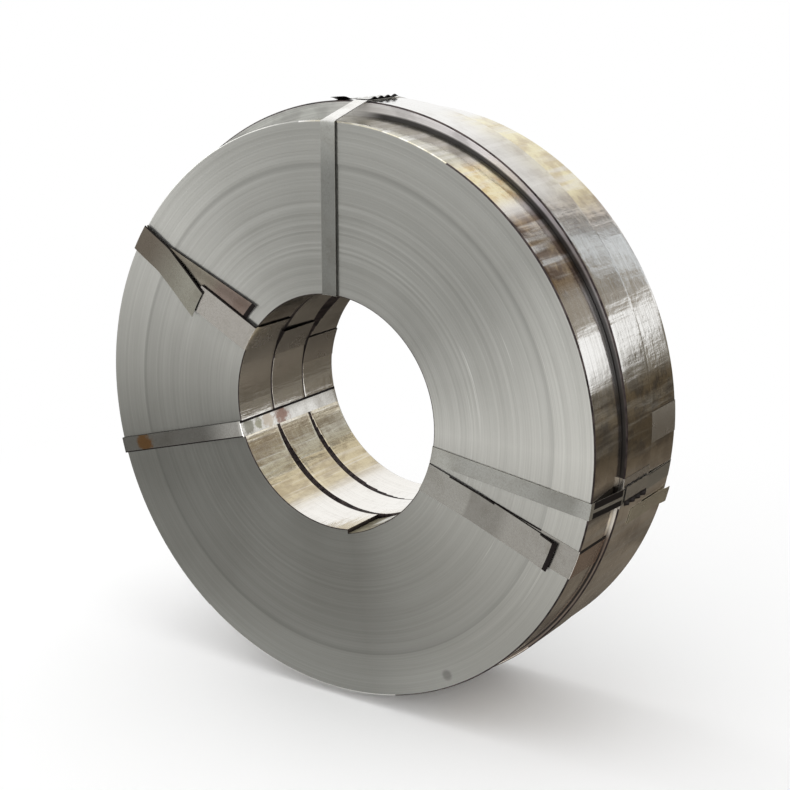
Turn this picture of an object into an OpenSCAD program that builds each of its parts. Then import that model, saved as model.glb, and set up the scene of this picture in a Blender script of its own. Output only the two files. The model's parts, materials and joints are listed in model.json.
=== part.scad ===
// Bundle of three slit coils of bright stainless strip, side by side on one bore,
// each coil held by two wide bands and the bundle by three narrow tie straps.

/* [Coils] */
// Bore diameter, the same in all three coils
bore_d = 400; // [380:2:440]
// Outside diameter of the front coil
front_d = 976; // [900:2:1100]
// Outside diameter of the middle coil, the largest of the three
middle_d = 1014; // [920:2:1100]
// Outside diameter of the back coil
back_d = 988; // [900:2:1100]
// Width of the strip, so the length of one coil
strip_w = 91.4; // [80:0.2:110]
// Space between neighbouring coils, where the bands pass
coil_gap = 0.9; // [0.9:0.1:2]
// How far the loose outer turns of the middle coil sit to the left
middle_left = 10.8; // [0:0.2:14]
// How far the loose outer turns of the middle coil sit upwards
middle_up = 6.1; // [0:0.1:8]

/* [Tie straps] */
// Width of a tie strap
strap_w = 28; // [19:1:32]
// Thickness of a tie strap
strap_t = 0.5; // [0.4:0.1:0.9]
// Gap between a tie strap and the front face
strap_lift = 4; // [1:0.5:6]
// Length of a crimped seal along its strap
seal_len = 80; // [30:1:90]
// Thickness of a seal's metal
seal_t = 1.4; // [0.8:0.1:2]

/* [Coil bands] */
// Width of the band that holds one coil
band_w = 51; // [40:1:64]
// Thickness of a band, at most half the space between coils, where two bands can pass
band_t = 0.4; // [0.2:0.05:0.45]

/* [Hidden] */
$fn = 96;
bore_r = bore_d / 2;
front_r = front_d / 2;
middle_r = middle_d / 2;
back_r = back_d / 2;
pitch = strip_w + coil_gap;
total_w = 3 * strip_w + 2 * coil_gap;
z_back = 0;
z_middle = pitch;
z_front = 2 * pitch;
outer_edge = 1;
face_edge = 1;
joint_edge = 3;
centre_x = -middle_left;
centre_y = middle_up;
// Strap directions, seen from the front and counted from the right
top_in = 90.3;
top_out = 90.2;
left_in = -163;
left_out = -164;
right_in = -11;
right_out = -9.5;
seal_side = 2;
notch_n = 4;
// Place of the right strap's seal along the middle coil, as a share of the strip's width
right_seal_at = 0.47;
// Band directions
front_upper = 148;
front_lower = -22.8;
middle_upper = 157;
middle_lower = -8.9;
back_upper = 167.6;
back_lower = 1;
largest_r = max(front_r, middle_r + middle_left + middle_up, back_r) + 20 * strap_t;
// Room left where a turned strap lies on a rim that is off its centre
rim_room = strap_t / 2;
front_wall = front_r - bore_r;
// The strip's inner end in the front coil's bore: its direction, and the hollow between its cut edge
// and the next turn, which climbs back to the bore
lead_end = -81.5;
hollow_deep = 7;
hollow_turn = 20;
hollow_over = 2;
// Inner turns that are set back on the side of a coil that meets the one in front: the direction of the
// deepest place, its depth, its length along the bore and its radius as a share of the bore's
low_dir = -127;
low_deep_middle = 5;
low_deep_back = 8;
low_len = 14;
low_share = 0.96;
top_dir = 110;
top_deep = 9;
top_len = 30;
top_share = 0.875;
// Heights of the lapped ends of the front coil's bands over its face
lap_low = 3 * strap_t;
lap_mid = 6 * strap_t;
lap_high = 9 * strap_t;

// A closed coil: outside turned about its own centre, bore turned about the common axis.
module coil(r, dx, dy, edge_low, edge_high) {
  b = bore_r;
  difference() {
    translate([dx, dy, 0])
      rotate_extrude()
        polygon([
          [0, 0], [r - outer_edge, 0], [r, outer_edge],
          [r, strip_w - outer_edge], [r - outer_edge, strip_w], [0, strip_w]
        ]);
    rotate_extrude()
      polygon([
        [0, -1], [b + edge_low + 1, -1], [b, edge_low],
        [b, strip_w - edge_high], [b + edge_high + 1, strip_w + 1], [0, strip_w + 1]
      ]);
  }
}

// The hollow beside the strip's inner end, deepest at the cut edge.
module lead_end_hollow() {
  inside = bore_r - hollow_over;
  translate([0, 0, -1])
    linear_extrude(strip_w + 2)
      polygon([
        polar(inside, lead_end), polar(bore_r + hollow_deep, lead_end),
        polar(bore_r + hollow_deep / 2, lead_end + hollow_turn / 2), polar(inside, lead_end + hollow_turn)
      ]);
}

// A crescent cut from the bore's front edge, where the inner turns are set back.
module set_back(dir, deep, len, share) {
  r = share * bore_r;
  off = bore_r - r + deep;
  translate([off * cos(dir), off * sin(dir), strip_w - len]) {
    cylinder(r1 = r - deep, r2 = r, h = len);
    translate([0, 0, len])
      cylinder(r = r, h = 1);
  }
}

// A thin shell turned about the common axis, cut to a strip of one width along a line.
module strip_along(a, off, w) {
  intersection() {
    children();
    rotate([0, 0, a])
      translate([bore_r / 2, off - w / 2, -total_w / 4])
        cube([largest_r, w, total_w * 1.5]);
  }
}

module turned(points) {
  rotate_extrude()
    polygon(points);
}

function polar(r, a) = [r * cos(a), r * sin(a)];
// Direction of the line between two points, and its distance from the axis
function line_dir(p, q) = atan2(q[1] - p[1], q[0] - p[0]);
function line_off(p, a) = p[1] * cos(a) - p[0] * sin(a);
// Reach of the middle coil's rim along a direction
function middle_reach(a) = centre_x * cos(a) + centre_y * sin(a) + middle_r + rim_room;

// Corners of the three rims that a strap may bear on, front to back, as [radius, height]
function rim_corners(rm) = [
  [front_r, total_w], [front_r, z_front], [rm, z_middle + strip_w],
  [rm, z_middle], [back_r, strip_w], [back_r, 0]
];
// Radius of a taut strap over those corners at one height
function taut_r(c, z) = max([
  for (p = c) for (q = c) if (p[1] >= z && q[1] <= z)
    p[1] == q[1] ? max(p[0], q[0]) : q[0] + (p[0] - q[0]) * (z - q[1]) / (p[1] - q[1])
]);
// The corners that it does bear on
function taut(c) = [for (p = c) if (p[0] >= taut_r(c, p[1]) - 0.001) p];

// One tie strap round the whole bundle: rim, front face, back face and bore.
module tie_strap(a_in, a_out, under_rim, under_bore) {
  p_in = polar(bore_r, a_in);
  a = line_dir(p_in, polar(front_r, a_out));
  t = strap_t;
  zt = total_w + strap_lift;
  rb = bore_r - under_bore;
  path = taut(rim_corners(middle_reach(a) + under_rim));
  strip_along(a, line_off(p_in, a), strap_w)
    difference() {
      turned(concat(
        [[rb - t, zt + t], [front_r + t, zt + t]],
        [for (p = path) [p[0] + t, p[1]]],
        [[back_r + t, -t], [rb - t, -t]]
      ));
      turned(concat([[rb, zt], [front_r, zt]], path, [[rb, 0]]));
    }
}

// A crimped seal over a tie strap on the middle coil's rim, with notched edges.
module tie_seal(a_in, a_out, under_rim, z_mid) {
  p_in = polar(bore_r, a_in);
  a = line_dir(p_in, polar(front_r, a_out));
  c = rim_corners(middle_reach(a) + under_rim);
  high = strap_t + seal_t;
  wide = strap_w + 2 * seal_side;
  step = seal_len / (notch_n + 1);
  notch = seal_len / 11;
  lean = atan2(taut_r(c, z_mid + seal_len / 2) - taut_r(c, z_mid - seal_len / 2), seal_len);
  rotate([0, 0, a])
    translate([taut_r(c, z_mid), line_off(p_in, a), z_mid])
      rotate([0, lean, 0])
        difference() {
          translate([0, -wide / 2, -seal_len / 2])
            cube([high, wide, seal_len]);
          translate([-high, -strap_w / 2, -seal_len])
            cube([high + strap_t, strap_w, 2 * seal_len]);
          for (i = [1 : notch_n])
            for (side = [-1, 1])
              translate([strap_t + seal_t / 4, side * wide / 2 - 1.5 * seal_side, i * step - seal_len / 2 - notch / 2])
                cube([high, 3 * seal_side, notch]);
        }
}

// A band round one coil, closed on all four sides.
module coil_band(r, dx, dy, z0, a) {
  t = band_t;
  z1 = z0 + strip_w;
  strip_along(a, 0, band_w)
    difference() {
      translate([dx, dy, 0])
        turned([[0, z0 - t], [r + t, z0 - t], [r + t, z1 + t], [0, z1 + t]]);
      translate([dx, dy, 0])
        turned([[0, z0], [r, z0], [r, z1], [0, z1]]);
      translate([0, 0, z0 - strip_w])
        cylinder(r = bore_r - t, h = 3 * strip_w);
    }
  strip_along(a, 0, band_w)
    turned([[bore_r - t, z0 - t], [bore_r, z0 - t], [bore_r, z1 + t], [bore_r - t, z1 + t]]);
}

module coil_front() {
  color([0.66, 0.66, 0.64])
    translate([0, 0, z_front])
      difference() {
        coil(front_r, 0, 0, joint_edge, face_edge);
        lead_end_hollow();
      }
}

module coil_middle() {
  color([0.62, 0.62, 0.60])
    translate([0, 0, z_middle])
      difference() {
        coil(middle_r, centre_x, centre_y, joint_edge, joint_edge);
        set_back(low_dir, low_deep_middle, low_len, low_share);
      }
}

module coil_back() {
  color([0.66, 0.66, 0.64])
    translate([0, 0, z_back])
      difference() {
        coil(back_r, 0, 0, face_edge, joint_edge);
        set_back(low_dir, low_deep_back, low_len, low_share);
        set_back(top_dir, top_deep, top_len, top_share);
      }
}

module strap_top() {
  color([0.50, 0.50, 0.49])
    tie_strap(top_in, top_out, 0, 0);
}

module strap_left() {
  color([0.50, 0.50, 0.49])
    tie_strap(left_in, left_out, 0, 0);
}

module strap_right() {
  color([0.50, 0.50, 0.49])
    tie_strap(right_in, right_out, band_t, band_t);
}

module seal_top() {
  color([0.35, 0.35, 0.35])
    tie_seal(top_in, top_out, 0, z_middle + strip_w / 2);
}

module seal_left() {
  color([0.35, 0.35, 0.35])
    tie_seal(left_in, left_out, 0, z_middle + strip_w / 2);
}

module seal_right() {
  color([0.35, 0.35, 0.35])
    tie_seal(right_in, right_out, band_t, z_middle + right_seal_at * strip_w);
}

// One end comes over the rim, the other out of the bore, lapped with a loose tail between them.
module band_front_upper() {
  t = band_t;
  z0 = z_front;
  z1 = total_w;
  rf = front_r;
  rim = polar(front_r, front_upper);
  bore = polar(bore_r, front_upper);
  tail = polar(front_r * 0.955, front_upper + 0.6);
  rim_end = bore_r + 0.09 * front_wall;
  bore_end = bore_r + 0.455 * front_wall;
  tail_end = bore_r + 0.42 * front_wall;
  join = bore_r + 0.49 * front_wall;
  rim_dir = front_upper + 6.6;
  bore_dir = front_upper + 4.4;
  tail_dir = front_upper - 6;
  color([0.58, 0.55, 0.50]) {
    strip_along(rim_dir, line_off(rim, rim_dir), band_w)
      turned([
        [join, z0 - t], [rf + t, z0 - t], [rf + t, z1 + lap_mid + t], [rf, z1 + lap_mid + t],
        [rf, z1 + lap_low + t], [rim_end, z1 + lap_low + t], [rim_end, z1 + lap_low],
        [rf, z1 + lap_low], [rf, z0], [join, z0]
      ]);
    strip_along(bore_dir, line_off(bore, bore_dir), band_w)
      turned([
        [bore_r - t, z0 - t], [join + band_w / 4, z0 - t], [join + band_w / 4, z0], [bore_r, z0],
        [bore_r, z1 + lap_high], [bore_end, z1 + lap_high], [bore_end, z1 + lap_high + t],
        [bore_r - t, z1 + lap_high + t]
      ]);
    strip_along(tail_dir, line_off(tail, tail_dir), band_w)
      turned([
        [tail_end, z1 + lap_mid], [rf + t, z1 + lap_mid],
        [rf + t, z1 + lap_mid + t], [tail_end, z1 + lap_mid + t]
      ]);
  }
}

// One end lies flat from the rim inwards, the other stands off over it from the bore outwards.
module band_front_lower() {
  t = band_t;
  z0 = z_front;
  z1 = total_w;
  rf = front_r;
  bore = polar(bore_r, front_lower);
  a = line_dir(bore, polar(front_r, front_lower + 2.2));
  rim_end = bore_r + 0.35 * front_wall;
  bore_end = bore_r + 0.87 * front_wall;
  color([0.58, 0.55, 0.50])
    strip_along(a, line_off(bore, a), band_w)
      turned([
        [bore_r - t, z0 - t], [rf + t, z0 - t], [rf + t, z1 + t], [rim_end, z1 + t], [rim_end, z1],
        [rf, z1], [rf, z0], [bore_r, z0], [bore_r, z1 + lap_mid], [bore_end, z1 + lap_mid],
        [bore_end, z1 + lap_mid + t], [bore_r - t, z1 + lap_mid + t]
      ]);
}

module band_middle_upper() {
  color([0.58, 0.55, 0.50])
    coil_band(middle_r, centre_x, centre_y, z_middle, middle_upper);
}

module band_middle_lower() {
  color([0.58, 0.55, 0.50])
    coil_band(middle_r, centre_x, centre_y, z_middle, middle_lower);
}

module band_back_upper() {
  color([0.58, 0.55, 0.50])
    coil_band(back_r, 0, 0, z_back, back_upper);
}

module band_back_lower() {
  color([0.58, 0.55, 0.50])
    coil_band(back_r, 0, 0, z_back, back_lower);
}

// Stood on its rim, front face towards -Y, on the lowest point of the middle coil.
module stand() {
  translate([middle_left, total_w / 2, middle_r - centre_y])
    rotate([90, 0, 0])
      children();
}

stand() coil_front();
stand() coil_middle();
stand() coil_back();
stand() strap_top();
stand() strap_left();
stand() strap_right();
stand() seal_top();
stand() seal_left();
stand() seal_right();
stand() band_front_upper();
stand() band_front_lower();
stand() band_middle_upper();
stand() band_middle_lower();
stand() band_back_upper();
stand() band_back_lower();
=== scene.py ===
import json
import math
import random
from collections import namedtuple

import bmesh
import bpy
import numpy as np
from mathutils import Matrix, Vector


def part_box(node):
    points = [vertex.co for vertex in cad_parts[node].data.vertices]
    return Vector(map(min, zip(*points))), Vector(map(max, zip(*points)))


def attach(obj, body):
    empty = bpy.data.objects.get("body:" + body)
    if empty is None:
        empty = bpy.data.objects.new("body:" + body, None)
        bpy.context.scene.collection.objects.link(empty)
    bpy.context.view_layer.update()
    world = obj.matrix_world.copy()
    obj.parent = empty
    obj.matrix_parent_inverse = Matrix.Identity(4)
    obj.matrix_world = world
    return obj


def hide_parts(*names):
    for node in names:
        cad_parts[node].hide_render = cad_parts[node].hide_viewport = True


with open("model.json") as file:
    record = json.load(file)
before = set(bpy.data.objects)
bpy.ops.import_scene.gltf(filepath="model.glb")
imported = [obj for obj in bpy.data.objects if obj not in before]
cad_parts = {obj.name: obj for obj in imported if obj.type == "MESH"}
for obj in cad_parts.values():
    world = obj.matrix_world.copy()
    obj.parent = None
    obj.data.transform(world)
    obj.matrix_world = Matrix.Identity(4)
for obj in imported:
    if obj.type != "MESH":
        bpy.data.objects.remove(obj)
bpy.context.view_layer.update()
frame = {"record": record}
scene = bpy.context.scene
scene.view_settings.view_transform = "Standard"

# Sizes are in mm, in the frame of the part: bore along Y, front face towards -Y, +Z up.
# Directions are in degrees, from the right towards the top seen from the front.
MM = 0.001
BODY = "root"
SEED = 7

Coil = namedtuple("Coil", "r centre front back")


def cad_size(node):
    """A coil's radius, centre of the outside and two faces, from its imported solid."""
    low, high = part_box(node)
    low, high = low / MM, high / MM
    centre = ((low.x + high.x) / 2 - AXIS_X, (low.z + high.z) / 2 - AXIS_Z)
    return Coil((high.x - low.x) / 2, centre, low.y, high.y)


mount = frame["record"]["mounts"][0]
AXIS_X = mount["pos_m"][0] / MM
AXIS_Z = mount["pos_m"][2] / MM
BORE_R = mount["dims"]["r_mm"]
FRONT = cad_size("coil_front")
MIDDLE = cad_size("coil_middle")
BACK = cad_size("coil_back")

# Tie straps: width, thickness, bend at corners, stand-offs from the front face, and directions at the bore
# and the rim
STRAP_W = 28.0
STRAP_T = 0.5
STRAP_BEND = 3.0
STRAP_CELLS = 14
RIBBON_SHARP = 40.0
STRAP_RIPPLE = 0.12
STRAP_SLACK = 0.25
STRAP_LIFTS = {"strap_top": 4.0, "strap_left": 4.0, "strap_right": 1.2}
STRAP_DIRECTIONS = {"strap_top": (90.3, 90.2), "strap_left": (-163.0, -164.0), "strap_right": (-11.0, -9.5)}

# Seals: length, lip past the strap on each side, thickness, height of the teeth, and place on the middle coil
# as a share of its width from the back
SEAL_LEN = 80.0
SEAL_SIDE = 2.0
SEAL_T = 0.9
SEAL_BASE = 0.4
SEAL_LOW = 1.2
SEAL_RAISE = 3.0
SEAL_PRESS = 0.8
SEAL_WAVE = 0.3
SEAL_CRIMPS = 4
SEAL_ROWS = 97
SEAL_COLUMNS = 25
MIDDLE_SEAL_AT = 0.5
RIGHT_SEAL_AT = 0.47

# Bands: width, thickness, bend, directions, stand-off of their laps from the front face, and of one edge from
# the bore
BAND_W = 51.0
BAND_T = 0.4
BAND_BEND = 0.6
BAND_CELLS = 20
BAND_SLACK = 0.05
FRONT_UPPER = 148.0
FRONT_LOWER = -22.8
MIDDLE_UPPER = 157.0
MIDDLE_LOWER = -8.9
BACK_UPPER = 167.6
BACK_LOWER = 1.0
LAP_LOW = 1.5
LAP_MID = 3.0
LAP_HIGH = 4.5
FRONT_BORE_GAP = 5.0
MIDDLE_BORE_GAP = 9.0
BACK_BORE_GAP = 5.0

# The front coil's upper band: ends as shares of the wall from the bore outwards, turns from the radius in
# degrees, and the kink of the tail and sag of the rim piece
UPPER_BEND = 2.5
UPPER_JOIN = 0.49
UPPER_RIM_END = 0.09
UPPER_BORE_END = 0.455
UPPER_TAIL_END = 0.42
UPPER_KINK_AT = 0.78
UPPER_TAIL_AT = (0.955, 0.2)
UPPER_RIM_TURN = 6.6
UPPER_BORE_TURN = 4.4
UPPER_TAIL_TURN = -7.3
TAIL_KINK = 7.0
RIM_SAG = 6.5
RIM_SAG_R = 430.0

# The front coil's lower band: ends as shares, turn to the rim, bends, the depth where its two pieces meet in
# the bore, and where its free end turns aside and its rim piece stops standing off
LOWER_RIM_END = 0.35
LOWER_BORE_END = 0.87
LOWER_RIM_TURN = 2.2
LOWER_RIM_BEND = 4.0
LOWER_BORE_BEND = 1.5
LOWER_MEET = 8.0
LOWER_KINK_R = 300.0
LOWER_TURN = 0.046
LOWER_LOOSE_R = 414.0

# Coils: steps round and along them, rounded inner edge, waves, depth of the turns' relief, the ring of outer
# turns that stands proud, and the directions between which the outer edge is drawn dark, partly its own dark
# edge and partly painted shade, or like the face
COIL_STEPS = 240
RIM_STEPS = 14
BORE_STEPS = 14
MOUTH_STEPS = 26
LIP_STEPS = 9
INNER_LIP = 1.5
FRONT_LIPS = (2.5, 1.0)
MIDDLE_LIPS = (2.6, 0.6)
BACK_LIPS = (0.6, 2.0)
FINE_TURNS = (2.0, 6.0)
WIDE_TURNS = (4.0, 9.0)
TURN_DEEP = 0.045
TURN_STEP = 0.1
WAVE = 0.5
BORE_ZONE = 16.0
RING_R = 419.0
RING_HIGH = 0.4
FRONT_DARK_LIP = (-76.0, 62.0)
MIDDLE_DARK_LIP = (-48.0, 130.0)
NO_DARK_LIP = (0.0, 0.0)
PLAIN_LIP = (96.0, 235.0)
COIL_SHARP = 12.0

# The strip's inner end: direction, depth of the hollow beside it and how far round the hollow runs
LEAD_END = -81.5
LEAD_STEP = math.radians(LEAD_END % 360)
LEAD_SPLIT = 0.0004
HOLLOW_DEEP = 7.0
HOLLOW_TURN = 20.0
HOLLOW_FLOOR = 0.8

# Inner turns that are set back at a coil's front edge, drawn with painted shade: direction of the deepest
# place, depth, length along the bore and reach to each side in degrees
MIDDLE_CUTS = [(-122.0, 4.0, 13.0, 44.0), (142.0, 1.4, 7.0, 24.0)]
BACK_CUTS = [(-124.0, 4.0, 11.5, 40.0), (122.0, 6.0, 46.0, 40.0)]
CUT_LEAST = 0.5
CUT_LINE = 3.0
CUT_DARK = 0.06
CUT_NEAR = 0.4

# Camera, fitted to the photograph's frame
IMAGE = 790
FOCAL_PX = 1634.54
CENTRE_PX = (405.27, 251.87)
CAMERA_AT = Vector((1558.25, -2267.05, 1254.92)) * MM
YAW = math.radians(33.359)
PITCH = math.radians(-10.378)
SENSOR = 36.0


def make_camera():
    data = bpy.data.cameras.new("camera")
    data.sensor_width = SENSOR
    data.lens = FOCAL_PX / IMAGE * SENSOR
    data.shift_x = (IMAGE / 2 - CENTRE_PX[0]) / IMAGE
    data.shift_y = (CENTRE_PX[1] - IMAGE / 2) / IMAGE
    level = math.cos(PITCH)
    forward = Vector((-math.sin(YAW) * level, math.cos(YAW) * level, math.sin(PITCH)))
    camera = bpy.data.objects.new("camera", data)
    camera.location = CAMERA_AT
    camera.rotation_mode = "QUATERNION"
    camera.rotation_quaternion = forward.to_track_quat("-Z", "Y")
    scene.collection.objects.link(camera)
    scene.camera = camera


def srgb(red, green, blue):
    """A colour of 0 to 255 in linear values."""

    def linear(value):
        part = value / 255
        return part / 12.92 if part <= 0.04045 else ((part + 0.055) / 1.055) ** 2.4

    return (linear(red), linear(green), linear(blue), 1.0)


# Marks of use: place, size and colour: rust on the left strap and a smudge on the front face. The spots on
# the same strap in the bore are painted reflections.
RUST = ((-406.3, -142.0, 379.4), 17.0, (131, 92, 46))
BORE_REFLECTIONS = [
    ((-180.0, -30.0, 442.6), 17.0, (158, 122, 108)),
    ((-180.0, -70.0, 442.6), 13.0, (206, 194, 178)),
    ((-180.0, -96.0, 442.6), 9.0, (160, 158, 136)),
    ((-180.0, -124.0, 442.6), 13.0, (136, 134, 120)),
]
SMUDGE_AT = (238.3, -138.0, 93.0)
SMUDGE_R = 9.0


# How far a tint, painted reflection, painted shade or stain fades at each end of its arc, in turns
ARC_SOFT = 0.014


class Shader:
    """A material and short calls for the nodes that feed its surface."""

    def __init__(self, name):
        self.material = bpy.data.materials.new(name)
        self.material.use_nodes = True
        self.tree = self.material.node_tree
        self.surface = self.tree.nodes["Principled BSDF"]

    def feed(self, socket, value):
        """Links a socket or sets its value. A colour is given in 0 to 255, as seen on a screen."""
        if isinstance(value, bpy.types.NodeSocket):
            self.tree.links.new(value, socket)
        else:
            socket.default_value = srgb(*value) if isinstance(value, tuple) else value

    def set(self, **values):
        for name, value in values.items():
            self.feed(self.surface.inputs[name.replace("_", " ")], value)

    def show(self, shader):
        """Another shader in place of the surface."""
        self.tree.nodes.remove(self.surface)
        self.tree.links.new(shader, self.tree.nodes["Material Output"].inputs["Surface"])

    def node(self, kind, **inputs):
        made = self.tree.nodes.new("ShaderNode" + kind)
        for name, value in inputs.items():
            self.feed(made.inputs[name.replace("_", " ")], value)
        return made

    def math(self, operation, first, second=0.0):
        made = self.node("Math")
        made.operation = operation
        self.feed(made.inputs[0], first)
        self.feed(made.inputs[1], second)
        return made.outputs[0]

    def times(self, first, second):
        return self.math("MULTIPLY", first, second)

    def span(self, value, low, high, to_low=0.0, to_high=1.0, kind="SMOOTHSTEP"):
        made = self.node("MapRange", Value=value, From_Min=low, From_Max=high, To_Min=to_low, To_Max=to_high)
        made.interpolation_type = kind
        return made.outputs["Result"]

    def mix(self, factor, first, second, blend="MIX"):
        made = self.node("Mix")
        made.data_type = "RGBA"
        made.blend_type = blend
        self.feed(made.inputs["Factor"], factor)
        self.feed(made.inputs[6], first)
        self.feed(made.inputs[7], second)
        return made.outputs[2]

    def ramp(self, factor, stops):
        made = self.node("ValToRGB", Fac=factor)
        elements = made.color_ramp.elements
        while len(elements) < len(stops):
            elements.new(1.0)
        for element, (place, colour) in zip(elements, sorted(stops)):
            element.position = place
            element.color = srgb(*colour)
        return made.outputs["Color"]

    def vector(self, x, y, z):
        return self.node("CombineXYZ", X=x, Y=y, Z=z).outputs[0]

    def noise(self, vector, scale=1.0, detail=3, rough=0.5):
        made = self.node("TexNoise", Vector=vector, Scale=scale, Detail=detail, Roughness=rough)
        return made.outputs["Fac"]

    def bump(self, height, distance, strength):
        made = self.node("Bump", Height=height, Distance=distance, Strength=strength)
        return made.outputs["Normal"]

    def at(self):
        """Place in the part's frame, in metres."""
        return self.node("TexCoord").outputs["Object"]

    def away(self, point):
        """Distance from a point, in metres."""
        made = self.node("VectorMath", Vector=self.at())
        made.operation = "DISTANCE"
        made.inputs[1].default_value = point
        return made.outputs["Value"]

    def place(self):
        """Place on the coil: cosine and sine of the direction, radius and depth in metres, turn 0 to 1."""
        at = self.node("SeparateXYZ", Vector=self.at())
        across = self.math("SUBTRACT", at.outputs["X"], AXIS_X * MM)
        up = self.math("SUBTRACT", at.outputs["Z"], AXIS_Z * MM)
        squares = self.math("ADD", self.times(across, across), self.times(up, up))
        radius = self.math("SQRT", squares)
        angle = self.math("ARCTAN2", up, across)
        turn = self.math("FRACT", self.math("ADD", self.math("DIVIDE", angle, 2 * math.pi), 1.0))
        return {
            "cos": self.math("DIVIDE", across, radius),
            "sin": self.math("DIVIDE", up, radius),
            "radius": radius,
            "depth": at.outputs["Y"],
            "turn": turn,
        }

    def arc(self, place, first, last, soft=ARC_SOFT):
        """1 between two directions, fading out at both."""
        width = (last - first) / 360
        soft = min(soft, width / 3)
        past = self.math("FRACT", self.math("ADD", place["turn"], 1 - first / 360 % 1))
        return self.times(self.span(past, 0.0, soft), self.span(past, width, width - soft))

    def spot(self, point, radius, ragged):
        """1 about a point given in mm, fading out at a ragged edge."""
        away = self.away([c * MM for c in point])
        shifted = self.math("ADD", away, self.times(ragged, radius * MM))
        return self.span(shifted, 1.9 * radius * MM, 1.1 * radius * MM)

    def grain(self, place, along, other, fine, detail, rough=0.5):
        """Noise with long features round the coil and fine ones along another measure."""
        across, up = self.times(place["cos"], along), self.times(place["sin"], along)
        return self.noise(self.vector(across, self.times(place[other], fine), up), detail=detail, rough=rough)


# Painted reflection: how bright the slit edges look in each direction round the coil, from 0 to 255
FACE_PAINTED_SHEEN = [
    (0, 241), (20, 208), (40, 182), (100, 180), (120, 196), (140, 226), (160, 222),
    (180, 192), (200, 143), (240, 150), (280, 147), (320, 196), (360, 241),
]
FACE_WARM = 5


def face_steel(name, metallic):
    """Slit edges of the turns: satin, with fine rings, a paler outer ring, a smudge, painted reflection in
    tones round the coil and painted glints on the right.
    """
    s = Shader(name)
    p = s.place()
    fine = s.grain(p, 0.5, "radius", 900, 2)
    broad = s.grain(p, 0.8, "radius", 160, 4, 0.65)
    cloud = s.grain(p, 3.0, "radius", 8, 4)
    tone = s.ramp(p["turn"], [(at / 360, (tone, tone, tone - FACE_WARM)) for at, tone in FACE_PAINTED_SHEEN])
    tone = s.mix(s.span(fine, 0.3, 0.7, 0.0, 0.1), tone, (120, 118, 112), "MULTIPLY")
    tone = s.mix(s.span(broad, 0.35, 0.65, 0.0, 0.12), tone, (150, 148, 142), "MULTIPLY")
    inside = s.span(p["radius"], RING_R * MM, (RING_R - 3) * MM)
    line = s.times(inside, s.span(p["radius"], (RING_R - 12) * MM, (RING_R - 3) * MM))
    tone = s.mix(s.times(inside, 0.08), tone, (60, 60, 58))
    tone = s.mix(s.times(line, 0.14), tone, (40, 40, 38))
    # Painted highlight: glints mixed towards white on the right of the face
    painted_glint = s.times(s.span(broad, 0.58, 0.7), s.arc(p, -40, 34, 0.03))
    tone = s.mix(s.times(painted_glint, 0.4), tone, (250, 250, 246))
    smudge = s.spot(SMUDGE_AT, SMUDGE_R, cloud)
    s.set(
        Base_Color=s.mix(s.times(smudge, 0.4), tone, (60, 56, 54)),
        Metallic=metallic,
        Roughness=s.span(cloud, 0.3, 0.7, 0.3, 0.38),
        Anisotropic=0.7,
        Anisotropic_Rotation=0.25,
        Normal=s.bump(s.math("ADD", s.times(fine, 0.3), broad), 0.0001, 0.3),
    )
    tangent = s.node("Tangent")
    tangent.direction_type = "RADIAL"
    tangent.axis = "Y"
    s.set(Tangent=tangent.outputs[0])
    return s.material


# A tint on rolled steel, partly its own colour and partly painted reflection and shade: its two colours, the
# directions and the amount, and depths that it sets in between
Film = namedtuple("Film", "tint first last amount depths", defaults=[None])


def rolled_steel(name, base, tints_and_light, uneven, soft=ARC_SOFT):
    """The strip's rolled side, nearly a mirror, with streaks in the rolling direction and tints on it, partly
    its own colour and partly painted reflection and shade.
    """
    s = Shader(name)
    p = s.place()
    streak = s.grain(p, 1.5, "depth", 500, 3)
    patch = s.grain(p, 14, "depth", 24, 4, 0.6)
    bars = s.grain(p, 34, "depth", 5, 3)
    toned = base
    for tint_and_light in tints_and_light:
        barred = s.span(bars, 0.3, 0.55, 0.45 * tint_and_light.amount, tint_and_light.amount)
        spread = s.times(s.arc(p, tint_and_light.first, tint_and_light.last, soft), barred)
        if tint_and_light.depths:
            start, full = tint_and_light.depths
            spread = s.times(spread, s.span(p["depth"], start * MM, full * MM))
        toned = s.mix(spread, toned, s.mix(s.span(patch, 0.4, 0.62), *tint_and_light.tint))
    worn = s.mix(s.span(patch, 0.5, 0.75, 0.0, 0.14), toned, (150, 138, 120))
    relief = s.math("ADD", s.times(streak, 0.1), s.math("ADD", bars, patch))
    s.set(
        Base_Color=s.mix(s.span(streak, 0.35, 0.8, 0.0, 0.1), worn, (120, 114, 106)),
        Metallic=1.0,
        Roughness=s.span(streak, 0.3, 0.7, 0.08, 0.2),
        Normal=s.bump(relief, uneven, 0.2),
    )
    return s.material


# Colour of the middle coil's slit edges in each direction, painted light and shade: dark towards the right,
# pale at the top, and a painted highlight under the right strap
STEP_PAINTED_LIGHT = [
    (0, (78, 72, 68)), (20, (92, 87, 85)), (36, (128, 124, 126)), (50, (178, 174, 179)),
    (62, (236, 232, 236)), (88, (214, 211, 209)), (100, (188, 189, 183)), (270, (180, 178, 174)),
    (300, (128, 114, 102)), (342, (128, 114, 102)), (344, (236, 230, 218)), (348.5, (236, 230, 218)),
    (350, (78, 72, 68)), (360, (78, 72, 68)),
]


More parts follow.
